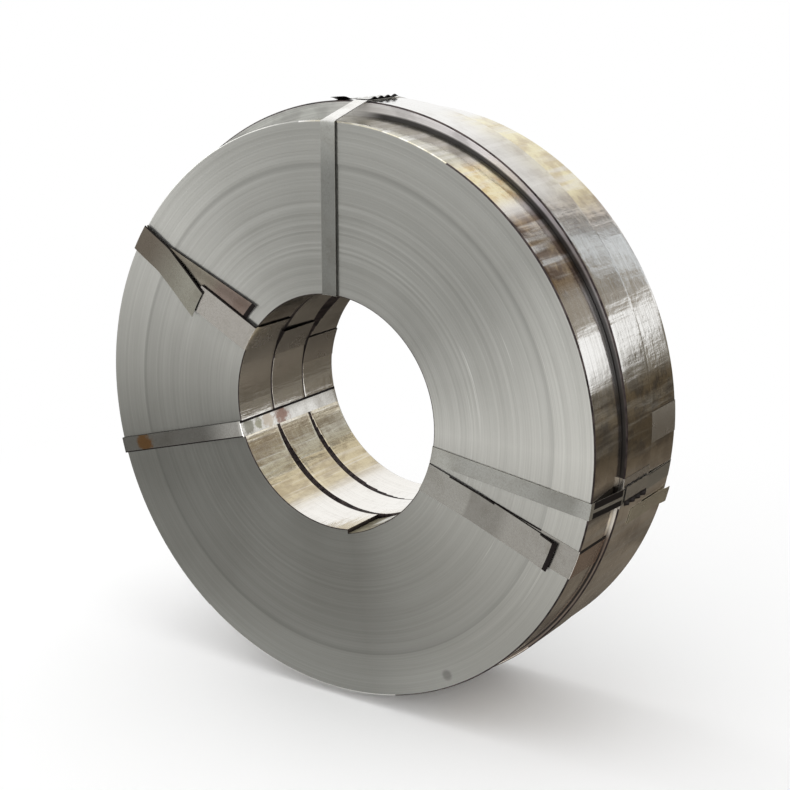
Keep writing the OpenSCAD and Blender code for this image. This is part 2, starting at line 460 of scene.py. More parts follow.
def shaded_steel():
    """The middle coil's slit edges, with painted shade in the corner over the front coil's rim, and painted
    light and shade round the coil.
    """
    s = Shader("strip_step")
    p = s.place()
    fine = s.grain(p, 0.5, "radius", 900, 2)
    cloud = s.grain(p, 9.0, "radius", 30, 4)
    tone = s.ramp(p["turn"], [(at / 360, colour) for at, colour in STEP_PAINTED_LIGHT])
    tone = s.mix(s.span(cloud, 0.5, 0.66, 0.0, 0.3), tone, (112, 108, 106))
    corner = FRONT.r * MM
    # Painted shade in the corner against the front coil's rim
    corner_shade = s.times(s.arc(p, -11, 92, 0.02), s.span(p["radius"], corner + 0.0085, corner + 0.0045))
    thin_corner_shade = s.times(s.arc(p, -80, -16, 0.02), s.span(p["radius"], corner + 0.0026, corner + 0.001))
    corner_shade = s.math("MAXIMUM", corner_shade, thin_corner_shade)
    tone = s.mix(s.times(corner_shade, 0.95), tone, (30, 27, 26))
    tone = s.mix(s.span(fine, 0.3, 0.7, 0.0, 0.25), tone, (150, 146, 148), "MULTIPLY")
    s.set(Base_Color=tone, Metallic=0.3, Roughness=0.38)
    return s.material


def edge_steel():
    """The dark edge between the slit and the rolled side, partly its own colour and partly painted shade, and
    painted shade on turns that are cut or set back.
    """
    s = Shader("strip_burr")
    p = s.place()
    spots = s.grain(p, 30, "radius", 200, 4)
    tone = s.ramp(spots, [(0.35, (34, 28, 30)), (0.7, (84, 74, 72))])
    s.set(Base_Color=tone, Metallic=0.8, Roughness=0.45)
    return s.material


def hollow_steel():
    """The floor of the hollow beside the strip's inner end: drawn dull and olive as painted shade, with a
    painted highlight where it runs out.
    """
    s = Shader("strip_inner_end")
    p = s.place()
    streak = s.grain(p, 1.5, "depth", 300, 3)
    tone = s.mix(s.span(streak, 0.35, 0.7), (160, 153, 128), (116, 110, 90))
    behind = s.span(p["depth"], -0.108, -0.085)
    # Painted highlight where the hollow runs out
    bright = s.times(s.arc(p, LEAD_END + 5, LEAD_END + 16, 0.01), behind)
    s.set(Base_Color=s.mix(bright, tone, (252, 252, 246)), Metallic=0.2, Roughness=0.4)
    return s.material


# Soil on straps and bands
SOIL = (196, 190, 182)


def strap_steel(name, light, rough, tones_by_radius=(), spots=(), dark=SOIL):
    """Satin strap or band with soft stains, tones that set in between two radii, partly painted light and
    shade, and spots.
    """
    s = Shader(name)
    at = s.at()
    stain = s.noise(at, scale=22, detail=5, rough=0.6)
    speck = s.noise(at, scale=320, detail=2)
    blot = s.noise(at, scale=110, detail=4, rough=0.6)
    ragged = s.math("ADD", stain, s.times(s.math("SUBTRACT", blot, 0.5), 2.2))
    radius = s.place()["radius"]
    colour = light
    for low, high, tint in tones_by_radius:
        colour = s.mix(s.span(radius, low * MM, high * MM), colour, tint)
    colour = s.mix(s.span(stain, 0.4, 0.8, 0.0, 0.5), colour, dark, "MULTIPLY")
    colour = s.mix(s.span(speck, 0.4, 0.8, 0.0, 0.25), colour, dark, "MULTIPLY")
    for point, size, tint in spots:
        colour = s.mix(s.times(s.spot(point, size, ragged), 0.85), colour, tint)
    s.set(
        Base_Color=colour,
        Metallic=1.0,
        Roughness=s.span(stain, 0.3, 0.7, rough - 0.04, rough + 0.05),
        Normal=s.bump(stain, 0.0004, 0.15),
    )
    return s.material


def make_mesh(name, points, faces, materials, slots, sharp):
    """A smooth-shaded mesh from points in mm, with sharp edges past an angle."""
    mesh = bpy.data.meshes.new(name)
    mesh.from_pydata((np.asarray(points) * MM).tolist(), [], faces)
    for material in materials:
        mesh.materials.append(material)
    mesh.polygons.foreach_set("material_index", slots)
    mesh.polygons.foreach_set("use_smooth", [True] * len(mesh.polygons))
    work = bmesh.new()
    work.from_mesh(mesh)
    bmesh.ops.recalc_face_normals(work, faces=work.faces)
    work.to_mesh(mesh)
    work.free()
    mesh.set_sharp_from_angle(angle=math.radians(sharp))
    piece = bpy.data.objects.new(name, mesh)
    scene.collection.objects.link(piece)
    return piece


def place_piece(piece, slot, *nodes):
    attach(piece, BODY)
    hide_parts(*nodes)


def part_points(across, depth, up):
    """Points in the part's frame from places about the bore's axis."""
    return np.stack([AXIS_X + across, depth, AXIS_Z + up], axis=-1)


# Materials of a coil, in the order of its slots
FACE, RIM, BORE, EDGE, INNER, LIP_EDGE = range(6)


def turn_groups(r_low, r_high, narrow, wide, rng):
    """Radius and recess along a face: groups of turns that sit a little deeper or less deep."""
    points = []
    r = r_low
    while r < r_high - wide:
        group = rng.uniform(narrow, wide)
        recess = TURN_DEEP * rng.random() ** 2
        points += [(r, recess), (r + group - TURN_STEP, recess)]
        r += group
    points.append((r, 0.0))
    points.append((r_high, 0.0))
    return points


def face_level(r):
    """The outer turns of a face stand a little proud of the rest."""
    return RING_HIGH * smooth((RING_R - r) / 4)


def smooth(t):
    t = np.clip(t, 0.0, 1.0)
    return t * t * (3 - 2 * t)


def waviness(angle, depth, rng):
    """Slow waves of the wound strip, 0 to 1."""
    total = np.zeros_like(angle)
    for count in (5, 9, 14, 23, 37):
        phase = rng.uniform(0, 2 * math.pi) + depth * rng.uniform(-0.03, 0.03)
        total += np.sin(count * angle + phase) / count**0.5
    return 0.5 + 0.25 * total


def quarter(centre, radius, start):
    """A quarter turn of a rounded edge, as points about its centre, without its two ends."""
    steps = np.radians(start + np.linspace(0, 90, LIP_STEPS))[1:-1]
    return [(centre[0] + radius * math.cos(a), centre[1] + radius * math.sin(a)) for a in steps]


def coil_profile(coil, groups, lips, mouth, rng):
    """Radius, depth and material slot round the section of a coil."""
    front, back, r = coil.front, coil.back, coil.r
    front_lip, back_lip = lips
    profile = []

    def run(points, slot):
        profile.extend((a, b, slot) for a, b in points)

    inner = BORE_R + INNER_LIP
    wall = np.linspace(back - INNER_LIP, front + mouth, BORE_STEPS)
    edge = np.linspace(front + mouth, front + INNER_LIP, MOUTH_STEPS)[1:]
    run([(BORE_R, y) for y in np.append(wall, edge)], BORE)
    run(quarter((inner, front + INNER_LIP), INNER_LIP, 180), EDGE)
    rings = turn_groups(inner, r - front_lip, *groups, rng)
    run([(a, front + d + face_level(a)) for a, d in rings[:-2]], FACE)
    run([(a, front) for a, d in rings[-2:]], FACE)
    run(quarter((r - front_lip, front + front_lip), front_lip, 270), LIP_EDGE)
    run([(r, y) for y in np.linspace(front + front_lip, back - back_lip, RIM_STEPS)], RIM)
    run(quarter((r - back_lip, back - back_lip), back_lip, 0), LIP_EDGE)
    rings = turn_groups(inner, r - back_lip, *groups, rng)
    run([(a, back - d) for a, d in reversed(rings)], FACE)
    run(quarter((inner, back - INNER_LIP), INNER_LIP, 90), EDGE)
    return profile


def inner_end(turn, radius, slot):
    """Depth of the hollow beside the strip's inner end, 0 to 1, and where its cut end and its floor are."""
    past = (np.degrees(turn) - LEAD_END) % 360
    deeper = np.where(past < HOLLOW_TURN, 1 - past / HOLLOW_TURN, 0)
    on_wall = radius < BORE_R + INNER_LIP
    cut_end = on_wall & (np.abs(turn - LEAD_STEP + LEAD_SPLIT) < LEAD_SPLIT / 2)
    floor = on_wall & (past < HOLLOW_FLOOR * HOLLOW_TURN) & (slot == BORE)
    return deeper, cut_end, floor


def set_back(turn, behind, direction, deep, length, reach):
    """How far inner turns are set back in each direction, and how much of that is left behind the front."""
    least = math.cos(math.radians(reach))
    towards = np.clip((np.cos(turn - math.radians(direction)) - least) / (1 - least), 0, 1)
    left = np.clip(1 - behind / (length * towards + CUT_LINE), 0, 1)
    return CUT_LEAST + deep * towards, left


def coil_slots(slot, turn, dark_lip):
    """Material slots of a coil's faces, with those of its outer edge."""
    after = np.roll(slot, -1, axis=0)
    between = np.where((slot == LIP_EDGE) | (after == LIP_EDGE), LIP_EDGE, EDGE)
    slots = np.where(slot == after, slot, between)
    around = np.degrees(turn)
    lip = np.where((around > PLAIN_LIP[0]) & (around < PLAIN_LIP[1]), FACE, RIM)
    # The dark lip is partly the edge's own colour and partly painted shade
    lip = np.where((around - dark_lip[0]) % 360 < dark_lip[1] - dark_lip[0], EDGE, lip)
    return np.where(slots == LIP_EDGE, lip, slots)


def coil_piece(node, coil, materials, groups, seed, lips, dark_lip, hollow=0.0, cuts=()):
    """A coil with its turns on the ends, a waved rim, and the marks at its bore."""
    rng = random.Random(seed)
    mouth = max([length for _, _, length, _ in cuts], default=INNER_LIP * 2)
    profile = coil_profile(coil, groups, lips, mouth, rng)
    angles = np.linspace(0, 2 * math.pi, COIL_STEPS, endpoint=False)
    if hollow:
        angles = np.sort(np.append(angles, [LEAD_STEP - LEAD_SPLIT, LEAD_STEP + LEAD_SPLIT]))
    radius, depth, slot = (np.array(column)[:, None] for column in zip(*profile))
    turn = np.broadcast_to(angles, (len(profile), len(angles)))
    wave = np.clip(waviness(turn, depth, rng), 0, 1)
    near_bore = np.clip(1 - (radius - BORE_R) / BORE_ZONE, 0, 1)
    grown = radius + WAVE * wave * (0.5 * near_bore - (radius > coil.r - lips[0] / 2))
    slots = coil_slots(slot, turn, dark_lip)
    if hollow:
        deeper, cut_end, floor = inner_end(turn, radius, slot)
        grown = grown + near_bore * hollow * deeper
        # Painted shade on the strip's cut inner end; the hollow's floor takes its painted shade material
        slots = np.where(cut_end, EDGE, np.where(floor, INNER, slots))
    for cut in cuts:
        deeper, left = set_back(turn, depth - coil.front, *cut)
        grown = grown + near_bore * deeper * left
        # Painted shade on the turns that are set back
        slots = np.where((near_bore > CUT_NEAR) & (left > CUT_DARK), EDGE, slots)
    shift = np.clip((radius - BORE_R) / (coil.r - BORE_R), 0, 1)
    across = shift * coil.centre[0] + grown * np.cos(turn)
    up = shift * coil.centre[1] + grown * np.sin(turn)
    points = part_points(across, depth + np.zeros_like(turn), up).reshape(-1, 3)
    rows, columns = turn.shape
    i, j = np.meshgrid(np.arange(rows), np.arange(columns), indexing="ij")
    i2, j2 = (i + 1) % rows, (j + 1) % columns
    corners = [i * columns + j, i2 * columns + j, i2 * columns + j2, i * columns + j2]
    faces = np.stack(corners, axis=-1).reshape(-1, 4).tolist()
    piece = make_mesh(node + "_turns", points, faces, materials, slots.reshape(-1).tolist(), COIL_SHARP)
    place_piece(piece, "strip", node)


# Straps and bands
def polar(r, direction):
    return np.array([r * math.cos(math.radians(direction)), r * math.sin(math.radians(direction))])


def line_at(p, direction):
    """A line through a place, as its direction and its distance from the axis."""
    a = math.radians(direction)
    return direction, p[1] * math.cos(a) - p[0] * math.sin(a)


def line_through(p, q):
    """The same for the line between two places."""
    return line_at(p, math.degrees(math.atan2(q[1] - p[1], q[0] - p[0])))


def rounded(path, bend, closed):
    """The path with its corners turned into short curves, and points added on long runs."""
    path = [np.array(p, float) for p in path]
    count = len(path)
    out = []
    for k in range(count):
        here = path[k]
        if not closed and k in (0, count - 1):
            out.append(here)
            continue
        before, after = path[k - 1], path[(k + 1) % count]
        into, away = before - here, after - here
        reach = min(bend, np.linalg.norm(into) * 0.45, np.linalg.norm(away) * 0.45)
        start = here + into / np.linalg.norm(into) * reach
        end = here + away / np.linalg.norm(away) * reach
        for t in np.linspace(0, 1, 6):
            out.append((1 - t) ** 2 * start + 2 * t * (1 - t) * here + t * t * end)
    dense = []
    last = len(out) if closed else len(out) - 1
    for k in range(last):
        p, q = out[k], out[(k + 1) % len(out)]
        pieces = max(1, int(np.linalg.norm(q - p) / 8))
        dense += [p + (q - p) * i / pieces for i in range(pieces)]
    if not closed:
        dense.append(out[-1])
    return np.array(dense)


def crossing(direction, radius, side, depth):
    """Points at a radius, a distance to the side of a direction, and a depth."""
    a = math.radians(direction)
    ahead = np.sqrt(np.maximum(radius**2 - side**2, 1.0))
    across = ahead * math.cos(a) - side * math.sin(a)
    return part_points(across, depth, ahead * math.sin(a) + side * math.cos(a))


def ribbon(name, path, closed, line, width, thick, materials, cells, bend, lift=None, grime=None, sway=None):
    """A flat ribbon of one width that lies along a line across the coil.

    The path gives its underside as radius and depth. A lift function may raise it, and a painted-shade
    function may darken it with painted shade, by radius, depth and place across the width from -0.5 to 0.5. A
    sway function moves it sideways by radius.
    """
    direction, off = line
    under = rounded(path, bend, closed)
    if closed:
        tangent = np.roll(under, -1, axis=0) - np.roll(under, 1, axis=0)
    else:
        tangent = np.gradient(under, axis=0)
    tangent /= np.linalg.norm(tangent, axis=1)[:, None]
    share = np.linspace(-0.5, 0.5, cells + 1)[None, :]
    r = under[:, 0, None] + np.zeros_like(share)
    y = under[:, 1, None] + np.zeros_like(share)
    raised = lift(r, y, share) if lift else np.zeros_like(r)
    layers = []
    for high in (0.0, thick):
        radius = r + tangent[:, 1, None] * (raised + high)
        depth = y - tangent[:, 0, None] * (raised + high)
        side = off + width * share + (sway(radius) if sway else np.zeros_like(radius))
        layers.append(crossing(direction, radius, side, depth))
    dirt_and_shade = np.zeros(r[:, 1:].shape, bool)
    if grime:
        middle = (share[:, 1:] + share[:, :-1]) / 2
        dirt_and_shade = dirt_and_shade | grime(r[:, 1:], y[:, 1:], middle)
    return shell(name, layers, closed, materials, dirt_and_shade)


# Materials of a ribbon or seal, in the order of its slots
TOP, UNDER, PAINTED_SHADE = range(3)


def shell(name, layers, closed, materials, dirt_and_shade):
    """A closed skin between an under and an upper grid of points, with a material for each side."""
    rows, columns = layers[0].shape[:2]
    points = np.concatenate([layer.reshape(-1, 3) for layer in layers])
    size = rows * columns
    faces = []
    slots = []
    last = rows if closed else rows - 1
    for i in range(last):
        k = (i + 1) % rows
        for j in range(columns - 1):
            quad = [i * columns + j, k * columns + j, k * columns + j + 1, i * columns + j + 1]
            faces += [quad, [size + v for v in reversed(quad)]]
            slots += [UNDER, PAINTED_SHADE if dirt_and_shade[i, j] else TOP]
        for j in (0, columns - 1):
            a, b = i * columns + j, k * columns + j
            faces.append([a, b, size + b, size + a])
            slots.append(UNDER)
    if not closed:
        for i in (0, rows - 1):
            for j in range(columns - 1):
                a, b = i * columns + j, i * columns + j + 1
                faces.append([a, b, size + b, size + a])
                slots.append(UNDER)
    return make_mesh(name, points, faces, materials, slots, RIBBON_SHARP)


def strap_line(node):
    at_bore, at_rim = STRAP_DIRECTIONS[node]
    return line_through(polar(BORE_R, at_bore), polar(FRONT.r, at_rim))


def rim_reach(coil, direction):
    """Radius of a coil's rim in one direction, from the bore's axis."""
    a = math.radians(direction)
    return coil.centre[0] * math.cos(a) + coil.centre[1] * math.sin(a) + coil.r


def middle_reach(direction, under):
    """Radius of a strap on the middle coil's rim, over what lies under it."""
    return rim_reach(MIDDLE, direction) + STRAP_SLACK + under


def strap_grime(node):
    """Where a tie strap carries painted shade along its edges, and on the right strap a painted dark
    reflection over the front coil's rim: a rule by radius, depth and place across the width.
    """
    front = FRONT.front

    def top(r, y, v):
        on_rim = (r > FRONT.r) & (y > front) & (y < MIDDLE.front + 12)
        return (v < -0.42) & on_rim

    def left(r, y, v):
        return ((v < -0.34) & (r < BORE_R + 1)) | ((v > 0.42) & (y < front) & (r > BORE_R + 1))

    def right(r, y, v):
        # Painted shade along the upper edge on the rims, and a painted dark reflection across the strap on
        # the front coil's rim but for a paler stripe
        on_rim = (r > FRONT.r) & (y > front + 3)
        edge = (v > 0.42) & (y > front + 5) & (y < BACK.back)
        return on_rim & (edge | ((np.abs(v + 0.05) > 0.12) & (y < MIDDLE.front)))

    return {"strap_top": top, "strap_left": left, "strap_right": right}[node]


def tie_strap(node, under, materials, tails=()):
    """A strap round the bundle, with the loose tails that lie beside it."""
    line = strap_line(node)
    rim = middle_reach(line[0], under)
    bore = BORE_R - under
    ahead = FRONT.front - STRAP_LIFTS[node]
    path = [
        (bore, ahead), (FRONT.r, ahead), (FRONT.r, FRONT.front),
        (rim, MIDDLE.front), (rim, MIDDLE.back), (BACK.r, BACK.back), (bore, BACK.back),
    ]

    def lift(r, y, v):
        return STRAP_RIPPLE * (1 + np.sin(r * 0.05 + y * 0.04 + v * 2))

    piece = ribbon(
        node + "_ribbon", path, True, line, STRAP_W, STRAP_T, materials, STRAP_CELLS, STRAP_BEND,
        lift=lift, grime=strap_grime(node),
    )
    if tails:
        piece = joined(node + "_ribbon", [piece, *tails])
    place_piece(piece, "strap", node)


def strap_tail(name, materials, direction, off, start, end, raised_start, raised_end):
    """A loose end of strap on the rim, between two depths, raised at its ends."""
    reach = middle_reach(direction, 0.0)

    def lift(r, y, v):
        part = (y - start) / (end - start)
        return raised_start * smooth(1 - 1.6 * part) + raised_end * smooth(4 * part - 3)

    path = [(reach, start), (reach, end)]
    line = (direction, off)
    return ribbon(name, path, False, line, STRAP_W, STRAP_T, materials, STRAP_CELLS, STRAP_BEND, lift=lift)


def tie_seal(node, strap, under, at, materials):
    """A crimped sleeve over a strap, with one edge turned up in teeth and the other pressed in."""
    direction, off = strap_line(strap)
    base = middle_reach(direction, under) + STRAP_T
    middle = MIDDLE.back - at * (MIDDLE.back - MIDDLE.front)
    y = np.linspace(middle - SEAL_LEN / 2, middle + SEAL_LEN / 2, SEAL_ROWS)[:, None]
    v = np.linspace(-0.5, 0.5, SEAL_COLUMNS)[None, :]
    crimp = 0.5 - 0.5 * np.cos(2 * math.pi * (y - middle) / SEAL_LEN * SEAL_CRIMPS)
    toothed = smooth((-v - 0.30) / 0.16)
    pressed = smooth((v - 0.34) / 0.12)
    teeth = toothed * (SEAL_LOW + SEAL_RAISE * crimp)
    high = SEAL_BASE + teeth + pressed * SEAL_PRESS * crimp + SEAL_WAVE * crimp
    side = off + v * (STRAP_W + 2 * SEAL_SIDE) + np.zeros_like(high)
    depth = y + np.zeros_like(high)
    layers = [crossing(direction, base + high + thick, side, depth) for thick in (0.0, SEAL_T)]
    # The toothed side is drawn in the darker underside steel
    dirt_and_shade = np.broadcast_to(v[:, 1:] < -0.24, (SEAL_ROWS, SEAL_COLUMNS - 1))
    place_piece(shell(node + "_crimped", layers, False, materials, dirt_and_shade), "seal", node)


def coil_band(node, coil, direction, materials, bore_gap):
    """A band round one coil, with one edge standing off in the bore, more at the front."""
    rim = rim_reach(coil, direction) + BAND_SLACK
    front, back = coil.front, coil.back
    path = [(BORE_R, front), (rim, front), (rim, back), (BORE_R, back)]

    def lift(r, y, v):
        on_bore = smooth((BORE_R + 1 - r) / 2)
        return on_bore * bore_gap * smooth(0.5 - v) * (1 - 0.5 * (y - front) / (back - front))

    # Painted shade where the band turns into the bore at the front
    def grime(r, y, v):
        return (r < BORE_R + 3) & (y < front + 2.5)

    piece = ribbon(
        node + "_ribbon", path, True, (direction, 0.0), BAND_W, BAND_T, materials, BAND_CELLS, BAND_BEND,
        lift=lift, grime=grime,
    )
    place_piece(piece, "band", node)


def loose_band(name, path, line, steel, under, bend, **shape):
    """A run of band with two ends, with painted shade on its underside and where its painted-shade rule marks
    it.
    """
    return ribbon(name, path, False, line, BAND_W, BAND_T, [steel, under, under], BAND_CELLS, bend, **shape)


def wall_share(share):
    """Radius at a share of the front coil's wall, from the bore outwards."""
    return BORE_R + share * (FRONT.r - BORE_R)


def joined(name, pieces):
    """One piece made of several meshes."""
    bpy.ops.object.select_all(action="DESELECT")
    for piece in pieces:
        piece.select_set(True)
    bpy.context.view_layer.objects.active = pieces[0]
    bpy.ops.object.join()
    pieces[0].name = name
    pieces[0].data.name = name
    return pieces[0]


def front_upper_band(rim, bore, tail, under):
    """One end over the rim, one out of the bore, and a loose tail askew between them."""
    rf, front, back = FRONT.r, FRONT.front, FRONT.back
    join = wall_share(UPPER_JOIN)
    rim_end = wall_share(UPPER_RIM_END)
    bore_end = wall_share(UPPER_BORE_END)
    tail_end = wall_share(UPPER_TAIL_END)
    kink = wall_share(UPPER_KINK_AT)
    tail_share, tail_off = UPPER_TAIL_AT

    def rim_lift(r, y, v):
        on_face = smooth((front + 1 - y) / 2) * smooth((rf - r) / 40)
        return on_face * (0.5 + 2.0 * smooth((-0.1 - v) / 0.4))

    # Painted shadow at the rim piece's inner end
    def rim_grime(r, y, v):
        return (y < front) & (r < rim_end + 4)

    def rim_sway(r):
        return np.interp(r, [rim_end, RIM_SAG_R, rf], [0, RIM_SAG, 0])

    def bore_lift(r, y, v):
        on_bore = smooth((BORE_R + 1 - r) / 2) * smooth((y - front) / 6)
        return on_bore * FRONT_BORE_GAP * smooth(0.2 - v)

    # Painted shade along the upper edge on the face
    def upper_grime(r, y, v):
        return (v < -0.45) & (y < front)

    # Painted shade along the upper edge, and a painted dark line where the band meets the next coil in the
    # bore
    def bore_grime(r, y, v):
        return upper_grime(r, y, v) | ((r < BORE_R + 6) & (y > back - 2))

    def tail_sway(r):
        return np.interp(r, [tail_end, kink, rf], [0, -TAIL_KINK, 0])

    def tail_lift(r, y, v):
        return 2.5 + 2.0 * smooth((tail_end + 60 - r) / 60) + 0.6 * np.sin(r * 0.03 + v) ** 2

    rim_piece = loose_band(
        "band_front_upper_rim",
        [(rim_end, front - LAP_LOW), (rf, front - LAP_LOW), (rf, back), (join, back)],
        line_at(polar(rf, FRONT_UPPER), FRONT_UPPER + UPPER_RIM_TURN),
        rim, under, UPPER_BEND, lift=rim_lift, grime=rim_grime, sway=rim_sway,
    )
    bore_piece = loose_band(
        "band_front_upper_bore",
        [(join, back), (BORE_R, back), (BORE_R, front - LAP_HIGH), (bore_end, front - LAP_HIGH)],
        line_at(polar(BORE_R, FRONT_UPPER), FRONT_UPPER + UPPER_BORE_TURN),
        bore, under, UPPER_BEND, lift=bore_lift, grime=bore_grime,
    )
    tail_piece = loose_band(
        "band_front_upper_tail",
        [(tail_end, front - LAP_MID), (rf, front - LAP_MID)],
        line_at(polar(rf * tail_share, FRONT_UPPER + tail_off), FRONT_UPPER + UPPER_TAIL_TURN),
        tail, under, UPPER_BEND, lift=tail_lift, grime=upper_grime, sway=tail_sway,
    )
    piece = joined("band_front_upper_ribbon", [rim_piece, bore_piece, tail_piece])
    place_piece(piece, "band", "band_front_upper")


def front_lower_band(steel, under):
    """One end flat from the rim inwards, the other standing off over it from the bore outwards."""
    rf, front, back = FRONT.r, FRONT.front, FRONT.back
    line = line_through(polar(BORE_R, FRONT_LOWER), polar(rf, FRONT_LOWER + LOWER_RIM_TURN))
    rim_end = wall_share(LOWER_RIM_END)
    bore_end = wall_share(LOWER_BORE_END)
    meet = front + LOWER_MEET

    # Painted shade along the upper edge where it stands loose on the face, and along its upper edge on the
    # rim
    def rim_grime(r, y, v):
        loose = (v > 0.45) & (y < front + 0.5) & (r < LOWER_LOOSE_R)
        return loose | ((v > 0.4) & (y > front) & (r > rf - 1))

    def bore_lift(r, y, v):
        on_face = smooth((front + 1 - y) / 2) * smooth((r - BORE_R) / 30)
        return on_face * (0.2 + 0.4 * smooth((v + 0.1) / 0.5) + 3.0 * smooth((r - bore_end + 40) / 40))

    def bore_sway(r):
        return -LOWER_TURN * np.maximum(r - LOWER_KINK_R, 0)

    # Painted shade along the open upper edge and at the free end
    def bore_grime(r, y, v):
        open_edge = (r > BORE_R + 40) & ((r < LOWER_KINK_R + 30) | (r > LOWER_LOOSE_R))
        return (y < front) & (((v > 0.45) & open_edge) | (r > bore_end - 10))

    rim_piece = loose_band(
        "band_front_lower_rim",
        [(rim_end, front), (rf, front), (rf, back), (BORE_R, back), (BORE_R, meet)],
        line, steel, under, LOWER_RIM_BEND, grime=rim_grime,
    )
    bore_piece = loose_band(
        "band_front_lower_bore",
        [(BORE_R, meet), (BORE_R, front - LAP_LOW), (bore_end, front - LAP_LOW)],
        line, steel, under, LOWER_BORE_BEND, lift=bore_lift, grime=bore_grime, sway=bore_sway,
    )
    piece = joined("band_front_lower_ribbon", [rim_piece, bore_piece])
    place_piece(piece, "band", "band_front_lower")


# Stage, in metres: floor, lamps, and cards that only reflections see
WHITE = (255, 255, 255)
SKY = 0.85
FLOOR_GREY = [0.96, 0.96, 0.96, 1]
FLOOR_HALF = 9.0
FLOOR_NEAR = 0.5
FLOOR_FAR = 1.6
LAMP_AIM = (0, 0, 0.5)
LAMPS = {
    "left_softbox": ((-2.6, 0.2, 2.0), (1.6, 1.6), 18),
    "right_softbox": ((1.6, -2.9, 1.0), (1.2, 1.8), 16),
    "top_softbox": ((0.2, -0.6, 3.0), (2.0, 2.0), 14),
}
CARD_UP = 0.004
BACKDROP_LEFT = -1.0
BACKDROP_WIDE = 4.0
BACKDROP_Y = 2.6
BACKDROP_HIGH = 3.4
LEDGE = (0.43, 0.6)
LEDGE_SLANT = 1.05
LEDGE_LEVEL_X = 2.02
LEDGE_SPAN = (1.6, 2.04)
ROOF = (1.13, 1.26)


def card(name, corner, side, up, material):
    """A flat rectangle of the stage, from a corner and two sides, in metres."""
    c, s, u = Vector(corner), Vector(side), Vector(up)
    mesh = bpy.data.meshes.new(name)
    mesh.from_pydata([c, c + s, c + s + u, c + u], [], [(0, 1, 2, 3)])
    mesh.materials.append(material)
    piece = bpy.data.objects.new(name, mesh)
    scene.collection.objects.link(piece)
    return piece


def backdrop_glow():
    """What stands behind the object: a low wall, a white gap and a roof in bands."""
    s = Shader("backdrop")
    at = s.node("SeparateXYZ", Vector=s.at())
    across, up = at.outputs["X"], at.outputs["Z"]
    rough = s.noise(s.vector(across, 0.0, up), scale=5, detail=3)
    sway = s.times(s.math("SUBTRACT", rough, 0.5), 0.35)
    high = s.math("ADD", up, s.times(sway, 0.5))
    pale, pink, bar = (248, 247, 246), (238, 236, 234), (104, 98, 92)
    slate, brown = (218, 222, 226), (146, 138, 126)
    bands = [
        (-1.0, WHITE), (-0.6, pale), (0.3, pink), (0.92, pink), (1.0, bar), (1.1, bar),
        (1.18, slate), (1.45, slate), (1.55, brown), (3.0, brown),
    ]
    along = s.math("ADD", across, sway)
    roof = s.ramp(
        s.span(along, BACKDROP_LEFT, BACKDROP_LEFT + BACKDROP_WIDE, kind="LINEAR"),
        [((x - BACKDROP_LEFT) / BACKDROP_WIDE, colour) for x, colour in bands],
    )
    upper = s.mix(s.span(high, *ROOF), WHITE, roof)
    low_wall = s.mix(s.span(rough, 0.4, 0.6), (140, 134, 122), (80, 72, 60))
    held = s.math("MINIMUM", s.math("MAXIMUM", across, LEDGE_SPAN[0]), LEDGE_SPAN[1])
    rise = s.times(s.math("SUBTRACT", held, LEDGE_LEVEL_X), LEDGE_SLANT)
    colour = s.mix(s.span(s.math("ADD", high, rise), *LEDGE), low_wall, upper)
    s.show(s.node("Emission", Color=colour).outputs[0])
    return s.material


def ground_glow(name, near, far, stops, left, right, dim, dirt=0.0):
    """Ground that changes with its distance along Y, dimmer to the left, with some dirt on it."""
    s = Shader(name)
    at = s.at()
    part = s.node("SeparateXYZ", Vector=at)
    colour = s.ramp(s.span(part.outputs["Y"], near, far, kind="LINEAR"), stops)
    spots = s.noise(at, scale=7, detail=4)
    dirt_and_shade = s.mix(s.span(spots, 0.45, 0.65, 0.0, dirt), colour, (48, 42, 38))
    light = s.node("Emission", Color=dirt_and_shade, Strength=s.span(part.outputs["X"], left, right, dim, 1.0))
    s.show(light.outputs[0])
    return s.material


def reflection_card(name, corner, side, up, material):
    """A card that only reflections see, without a shadow."""
    piece = card(name, corner, side, up, material)
    piece.visible_camera = False
    piece.visible_diffuse = False
    piece.visible_shadow = False


def make_floor():
    """A pale floor that keeps the shadow near the object and turns white further off."""
    s = Shader("floor_white")
    far = s.span(s.away((0, 0, 0)), FLOOR_NEAR, FLOOR_FAR)
    blend = s.node("MixShader", Fac=far)
    lit = s.node("BsdfDiffuse")
    lit.inputs["Color"].default_value = FLOOR_GREY
    s.feed(blend.inputs[1], lit.outputs[0])
    s.feed(blend.inputs[2], s.node("Emission", Color=WHITE).outputs[0])
    s.show(blend.outputs[0])
    size = 2 * FLOOR_HALF
    card("floor", (-FLOOR_HALF, -FLOOR_HALF, 0), (size, 0, 0), (0, size, 0), s.material)


def make_world():
    """White for what is seen or mirrored, and a little less for soft light."""
    world = bpy.data.worlds.new("studio")
    world.use_nodes = True
    tree = world.node_tree
    link = tree.links.new
    soft = tree.nodes["Background"]
    soft.inputs["Color"].default_value = srgb(*WHITE)
    soft.inputs["Strength"].default_value = SKY
    white = tree.nodes.new("ShaderNodeBackground")
    white.inputs["Color"].default_value = srgb(*WHITE)
    rays = tree.nodes.new("ShaderNodeLightPath")
    seen = rays.outputs["Is Camera Ray"]
    for ray in ("Is Glossy Ray", "Is Transmission Ray"):
        either = tree.nodes.new("ShaderNodeMath")
        either.operation = "MAXIMUM"
        link(seen, either.inputs[0])
        link(rays.outputs[ray], either.inputs[1])
        seen = either.outputs[0]
    choose = tree.nodes.new("ShaderNodeMixShader")
    link(seen, choose.inputs[0])
    link(soft.outputs[0], choose.inputs[1])
    link(white.outputs[0], choose.inputs[2])
    link(choose.outputs[0], tree.nodes["World Output"].inputs[0])
    scene.world = world


